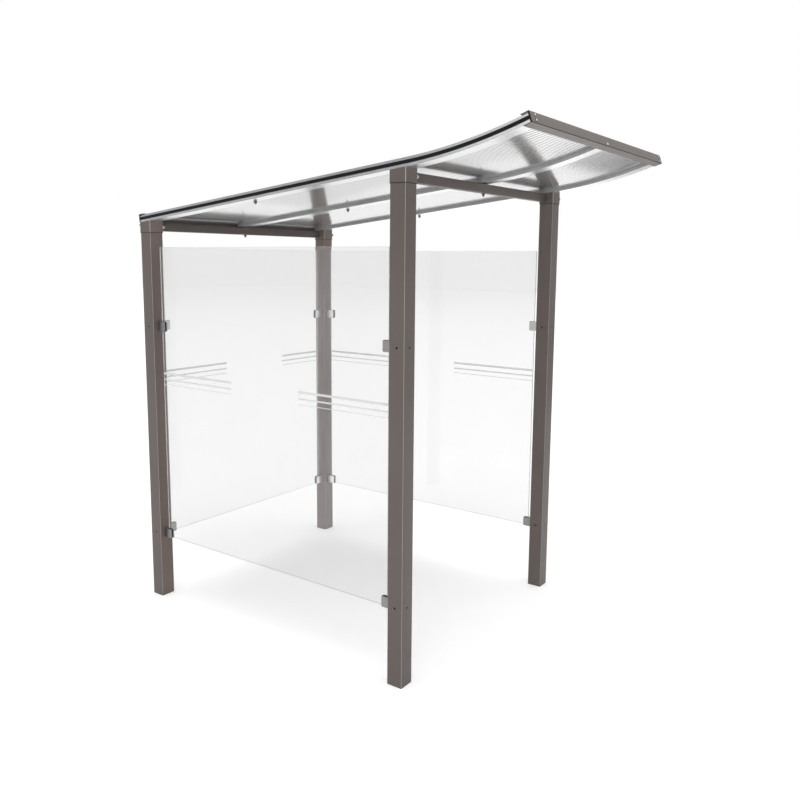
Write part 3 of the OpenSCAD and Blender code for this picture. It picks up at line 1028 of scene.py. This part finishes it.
# The black washers partly stand in for the shade round the screws: painted shade.
washer = start("cylinder", "sealing_washer", vertices=32, radius=SEAL_RADIUS, depth=SEAL_THICK,
               location=(0, 0, SEAL_THICK / 2))
tidy(washer)
soften_edges(washer, SEAL_THICK / 4)
screws, washers = [], []
spots = [(fascia_low.x + LEFT_INSET, z) for z in LEFT_HEIGHTS] + [(fascia_x, MIDDLE_HEIGHT)]
for x, z in spots + [(fascia_high.x - RIGHT_INSET, z) for z in RIGHT_HEIGHTS]:
    spot = front_edge @ Matrix.Translation((x, -FOLD, z)) @ facing_front
    screws.append(copy_of(screw, "fascia_screw", turn=spot))
    if x != fascia_x:
        washers.append(copy_of(washer, "washer", turn=spot))
for rafter in (-1, 0, 1):
    spot = Matrix.Translation((fascia_x + rafter * span_x / 2, FOLD, RAFTER_HEIGHT / 2))
    screws.append(copy_of(screw, "angle_screw", turn=rear_edge @ spot @ facing_rear))
for first in (screw, washer):
    bpy.data.objects.remove(first)
settle(join("sealing_washers", *washers), rubber, "seal_rubber")
screws = join("edge_screws", *screws)
# The screws take the very bright zinc, a painted highlight.
settle(screws, painted_highlight_zinc, "zinc_fixings")

# The bead along the lower fold is painted shade, for the shadow line there.
bead = start("cube", "sealant_bead", size=1,
             stretch=(fascia_width - BEAD_SHORTER, FASCIA_BEAD, FASCIA_BEAD))
pick(bead, "EDGE", lambda middle, edge: is_along(edge, 0))
bpy.ops.mesh.bevel(offset=FASCIA_BEAD * 0.4, segments=4)
tidy(bead)
corner = FASCIA_BEAD / 2 - FOLD
bead.data.transform(front_edge @ Matrix.Translation((fascia_x, corner, corner)))
settle(bead, shade_bead_sealant, "seal_rubber")
print(screws.name, len(screws.data.polygons), "faces;", bead.name, len(bead.data.polygons), "faces")

# %% [markdown]
# Each pane hangs in four clamps. A clamp is a fork of satin stainless steel, bolted on the post's
# face from inside the tube, so that no screw shows. Its two cheeks squeeze the glass between
# black pads. Seen from above a clamp is a U, so a plane is cut into strips, the slot is deleted
# and the U is pulled up. The corners at the cheeks' ends are then rounded. One clamp is made at
# the origin, reaching along +X, and twelve copies are turned to their posts.

# %% Glass clamps
CLAMP_REACH, CLAMP_HEIGHT, CLAMP_THICK = 0.057, 0.052, 0.024
SLOT_START, SLOT_HALF = 0.026, 0.006
CHEEK_CORNER, FORK_RIM = 0.005, 0.0008


def towards(node):
    """The place of a clamp on its post's face, and the turn that points it at its pane."""
    low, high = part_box(node)
    middle = (low + high) / 2
    if "clamp_rear_left" in node:
        x, y, turn = low.x, middle.y, 0
    elif "clamp_rear" in node:
        x, y, turn = high.x, middle.y, math.pi
    elif "_front_" in node:
        x, y, turn = middle.x, low.y, math.pi / 2
    else:
        x, y, turn = middle.x, high.y, -math.pi / 2
    return Matrix.Translation((x, y, middle.z)) @ Matrix.Rotation(turn, 4, "Z")


fork = start("plane", "clamp_fork", size=1, stretch=(CLAMP_REACH, CLAMP_THICK, 1),
             location=(CLAMP_REACH / 2, 0, -CLAMP_HEIGHT / 2))
slice_at(fork, x=[SLOT_START], y=[-SLOT_HALF, SLOT_HALF])
pick(fork, "FACE", lambda middle, face: middle.x > SLOT_START and abs(middle.y) < SLOT_HALF)
bpy.ops.mesh.delete(type="FACE")
pick_all()
pull(z=CLAMP_HEIGHT)
pick(fork, "EDGE", lambda middle, edge: is_along(edge, 1) and middle.x > CLAMP_REACH - 1e-5)
bpy.ops.mesh.bevel(offset=CHEEK_CORNER, segments=5)
tidy(fork)
soften_edges(fork, FORK_RIM)
shade()
clamp_nodes = sorted(name for name in nodes if name.startswith("clamp_") and "pads" not in name)
INWARDS = {"left": Vector((1, 0, 0)), "right": Vector((-1, 0, 0)), "rear": Vector((0, -1, 0))}
for name in clamp_nodes:
    clamp = copy_of(fork, name.replace("clamp_", "fork_"), turn=towards(name))
    settle(clamp, clamp_metal, "clamp_metal", name)
    # Inner cheeks are painted lighter on the upper clamps and lightest at the rear right post: painted
    # light.
    at_back_corner = "_right_rear_" in name or "_rear_right_" in name
    clamp.data.materials.append(painted_brightest_cheek if at_back_corner else
                                clamp_metal if "lower" in name else painted_light_cheek)
    for face in clamp.data.polygons:
        face.material_index = int(face.normal.dot(INWARDS[name.split("_")[1]]) > 0.9)
bpy.data.objects.remove(fork)
print(len(clamp_nodes), "clamps,", len(clamp.data.polygons), "faces each")

# %% [markdown]
# The pads keep steel off the glass and show as a thin black rim round the cheeks. Each is a thin
# plate with rounded corners and eased rims. A pair is modelled for one clamp and copied to all of
# them, and the pads of one pane are one piece.

# %% Clamp pads
PAD_LENGTH, PAD_THICK, PAD_HEIGHT = 0.030, 0.002, 0.054
PAD_START, PAD_CORNER, PAD_RIM = 0.028, 0.003, 0.0004
pads = []
for side in (-1, 1):
    pad = start("cube", "pad", size=1, stretch=(PAD_LENGTH, PAD_THICK, PAD_HEIGHT),
                location=(PAD_START + PAD_LENGTH / 2, side * (SLOT_HALF - PAD_THICK / 2), 0))
    pick(pad, "EDGE", lambda middle, edge: is_along(edge, 1))
    bpy.ops.mesh.bevel(offset=PAD_CORNER, segments=4)
    tidy(pad)
    soften_edges(pad, PAD_RIM)
    pads.append(pad)
pair = join("pad_pair", *pads)
for pane in ("left", "right", "rear"):
    copies = [copy_of(pair, "pads", turn=towards(name)) for name in clamp_nodes if "clamp_" + pane in name]
    piece = join("pad_set_" + pane, *copies)
    settle(piece, rubber, "seal_rubber", "clamp_pads_" + pane)
    print(piece.name, len(copies), "pairs,", len(piece.data.polygons), "faces")
bpy.data.objects.remove(pair)

# %% [markdown]
# The panes are 8 mm toughened glass. Its edges are ground before it is hardened, so each has a
# narrow chamfer and the corners are slightly round. These bright and grey lines along the edges
# are most of what shows of clear glass.

# %% Glass panes
CORNER = 0.004
CHAMFER = 0.001
for side, thin in (("left", 0), ("right", 0), ("rear", 1)):
    low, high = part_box("glass_" + side)
    pane = start("cube", "pane_" + side, size=1, stretch=high - low, location=(low + high) / 2)
    pick(pane, "EDGE", lambda middle, edge: is_along(edge, thin))
    bpy.ops.mesh.bevel(offset=CORNER, segments=4)
    tidy(pane)
    soften_edges(pane, CHAMFER, segments=1)
    settle(pane, pane_glass, "pane_glass", "glass_" + side)
    pane.data.materials.append(glass_edge)
    for face in pane.data.polygons:
        face.material_index = int(abs(face.normal[thin]) < 0.9)
    print(pane.name, len(pane.data.polygons), "faces")

# %% [markdown]
# Glass at this height is marked so that nobody walks into it. Each pane carries two sets of three
# printed lines, thick, medium and thin, that run in from its upright edges and stop short of a
# bare middle. A line is a very thin block with its corners clipped. It lies on one face of its
# pane: the left one on the side panes, and the front one on the rear pane.

# %% Printed lines on the glass
PRINT, LINE_CORNER = 0.0002, 0.0006
PROUD = 0.4
FROM_EDGES = 0.002
LINES = ((1.3030, 0.012), (1.2695, 0.0075), (1.2415, 0.0036))
BARE = {"left": (-0.235, 0.235), "right": (-0.235, 0.235), "rear": (-0.195, 0.2845)}
for side, run in {"left": 1, "right": 1, "rear": 0}.items():
    low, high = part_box("glass_" + side)
    middle = (low + high) / 2
    lines = []
    for first, last in ((low[run], middle[run] + BARE[side][0]), (middle[run] + BARE[side][1], high[run])):
        for height, thick in LINES:
            size = Vector((PRINT, PRINT, thick))
            size[run] = last - first - FROM_EDGES
            spot = middle.copy()
            spot[run] = (first + last) / 2
            spot[1 - run] = low[1 - run] - PRINT * PROUD
            spot.z = height
            line = start("cube", "line", size=1, stretch=size, location=spot)
            pick(line, "EDGE", lambda where, edge: is_along(edge, 1 - run))
            bpy.ops.mesh.bevel(offset=LINE_CORNER, segments=2)
            lines.append(line)
    object_mode()
    marking = join("printed_lines_" + side, *lines)
    tidy(marking)
    # The right and rear panes take the more see-through print, painted light.
    settle(marking, glass_print if side == "left" else painted_light_print, "glass_print")
    print(marking.name, len(lines), "lines")

# %% [markdown]
# The stage is a white floor that runs far past the shelter. It is lit like anything else, so it keeps
# the shelter's soft shadow, and a little glow is added only for rays that come from the camera or
# a mirror, which lifts it to plain white. Rays that have passed through glass see a floor that
# falls off slightly with distance. That gives the panes their faint grey towards the top.

# %% Floor
FLOOR_SIZE = 80
SEEN_GLOW = 0.42
THROUGH_GLASS = ((0.0, 0.36), (0.04, 0.31), (0.16, 0.28), (1.0, 0.15))


def by_stops(graph, source, out, stops):
    """A grey that follows a value through the given stops."""
    ramp = add(graph, "ValToRGB")
    ramp.color_ramp.elements.remove(ramp.color_ramp.elements[1])
    for number, (at, level) in enumerate(stops):
        stop = ramp.color_ramp.elements[0] if number == 0 else ramp.color_ramp.elements.new(at)
        stop.position = at
        stop.color = (level, level, level, 1)
    wire(graph, source, ramp, out, "Fac")
    return ramp


bpy.ops.object.select_all(action="DESELECT")
bpy.ops.mesh.primitive_plane_add(size=FLOOR_SIZE, location=(0, 0, 0))
floor = bpy.context.object
floor.name = "floor"
floor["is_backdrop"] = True
floor_white, graph, shader, place = recipe("floor_white", Base_Color=(0.8, 0.8, 0.8, 1),
                                           Roughness=0.9, Specular_IOR_Level=0.0)
rays = add(graph, "LightPath")
seen = add(graph, "Math", operation="MAXIMUM")
wire(graph, rays, seen, "Is Camera Ray", 0)
wire(graph, rays, seen, "Is Glossy Ray", 1)
direct = between(graph, seen, 0.0, SEEN_GLOW, 0, 0.0, 1.0)
away = add(graph, "VectorMath", operation="LENGTH")
wire(graph, place, away, "Object", 0)
share = between(graph, away, 0.0, 1.0, "Value", 0.0, FLOOR_SIZE / 2)
through = by_stops(graph, share, 0, THROUGH_GLASS)
strength = add(graph, "Mix", data_type="FLOAT")
wire(graph, rays, strength, "Is Transmission Ray", 0)
wire(graph, direct, strength, 0, 2)
wire(graph, through, strength, "Color", 3)
glow = add(graph, "Emission")
wire(graph, strength, glow, 0, "Strength")
both = add(graph, "AddShader")
wire(graph, shader, both, 0, 0)
wire(graph, glow, both, 0, 1)
wire(graph, both, graph.nodes["Material Output"], 0, "Surface")
floor.data.materials.append(floor_white)
print("floor:", FLOOR_SIZE, "m square")

# %% [markdown]
# A dark card lies on the floor well to the right, out of view. Only mirrors see it: it gives the
# front of the right roof sheet its grey, which shows that the sheet curves up there.

# %% Dark card
CARD_LOW, CARD_HIGH = Vector((6.8, -10.0, 0.01)), Vector((18.0, 1.52, 0.01))
CARD_TONE = 0.03
bpy.ops.mesh.primitive_plane_add(size=1, location=(CARD_LOW + CARD_HIGH) / 2)
card = bpy.context.object
card.name = "dark_card"
card.scale = (CARD_HIGH.x - CARD_LOW.x, CARD_HIGH.y - CARD_LOW.y, 1)
card.visible_camera = card.visible_diffuse = card.visible_transmission = card.visible_shadow = False
card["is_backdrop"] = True
card_paint, *_ = recipe("card_paint", Base_Color=(CARD_TONE, CARD_TONE, CARD_TONE, 1),
                        Roughness=1.0, Specular_IOR_Level=0.0)
card.data.materials.append(card_paint)
print("card:", [round(v, 2) for v in card.dimensions])

# %% [markdown]
# The world is a large soft sky, dimmer a little above the horizon and brightest overhead, so that
# upright faces are darker than level ones and edges turn from light to dark. The camera sees
# plain white behind the shelter, and rays that have passed through glass see a pale grey.

# %% World
LIGHT_STOPS = ((0.0, 1.05), (0.1, 0.46), (0.4, 0.52), (1.0, 1.45))
THROUGH_STOPS = ((0.0, 0.90), (0.3, 0.82))
world = bpy.data.worlds.new("studio")
bpy.context.scene.world = world
world.use_nodes = True
graph = world.node_tree
way = add(graph, "TexCoord")
parts = add(graph, "SeparateXYZ")
wire(graph, way, parts, "Generated", "Vector")
rays = add(graph, "LightPath")
lit = add(graph, "Mix", data_type="FLOAT")
wire(graph, rays, lit, "Is Transmission Ray", 0)
wire(graph, by_stops(graph, parts, "Z", LIGHT_STOPS), lit, "Color", 2)
wire(graph, by_stops(graph, parts, "Z", THROUGH_STOPS), lit, "Color", 3)
level = add(graph, "Mix", data_type="FLOAT")
wire(graph, rays, level, "Is Camera Ray", 0)
wire(graph, lit, level, 0, 2)
level.inputs[3].default_value = 1.0
background = graph.nodes["Background"]
background.inputs["Color"].default_value = (1, 1, 1, 1)
wire(graph, level, background, 0, "Strength")
print("world:", world.name)

# %% [markdown]
# One large softbox stands at the front left. It is weak, because the sky does most of the work, and only
# gives the left faces of the posts their lighter tone and the edges a faint line of light, which the painted
# highlight on the powder coat makes stronger.

# %% Softbox
LAMP_PLACE = Vector((-6.5, -2.8, 3.0))
LAMP_TARGET = Vector((0, 0, 1.2))
lamp = bpy.data.lights.new("front_softbox", "AREA")
lamp.shape = "RECTANGLE"
lamp.size, lamp.size_y = 2.5, 4.0
lamp.energy = 60
softbox = bpy.data.objects.new("front_softbox", lamp)
bpy.context.collection.objects.link(softbox)
softbox.location = LAMP_PLACE
softbox.rotation_euler = (LAMP_TARGET - LAMP_PLACE).to_track_quat("-Z", "Y").to_euler()
print("lamp:", lamp.energy, "W")

# %% [markdown]
# The camera stands at eye height off the front left corner and looks slightly down. A moderate
# lens keeps the verticals nearly parallel, and a small shift frames the shelter without turning
# the camera. The turn is written as heading, tilt and roll, which is how a tripod is set.

# %% Camera
CAMERA_PLACE = (-3.5148, -2.5910, 1.9429)
HEADING, TILT, ROLL = -54.572, 90 - 7.977, 0.515
camera_data = bpy.data.cameras.new("camera")
camera_data.lens = 35.65
camera_data.sensor_width = 36
camera_data.shift_x = -0.0072
camera_data.shift_y = -0.0363
camera = bpy.data.objects.new("camera", camera_data)
bpy.context.collection.objects.link(camera)
camera.matrix_world = (Matrix.Translation(CAMERA_PLACE)
                       @ Matrix.Rotation(math.radians(HEADING), 4, "Z")
                       @ Matrix.Rotation(math.radians(TILT), 4, "X")
                       @ Matrix.Rotation(math.radians(ROLL), 4, "Z"))
bpy.context.scene.camera = camera
bpy.context.scene.view_settings.view_transform = "Standard"
print("camera:", camera_data.lens, "mm lens")

# %% [markdown]
# Last, the box of the finished model is printed. It should agree with the construction model's box, because
# this lesson changes looks and never sizes.

# %% Sizes
low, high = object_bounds()
print("visual box:", [round(v, 4) for v in low], [round(v, 4) for v in high])
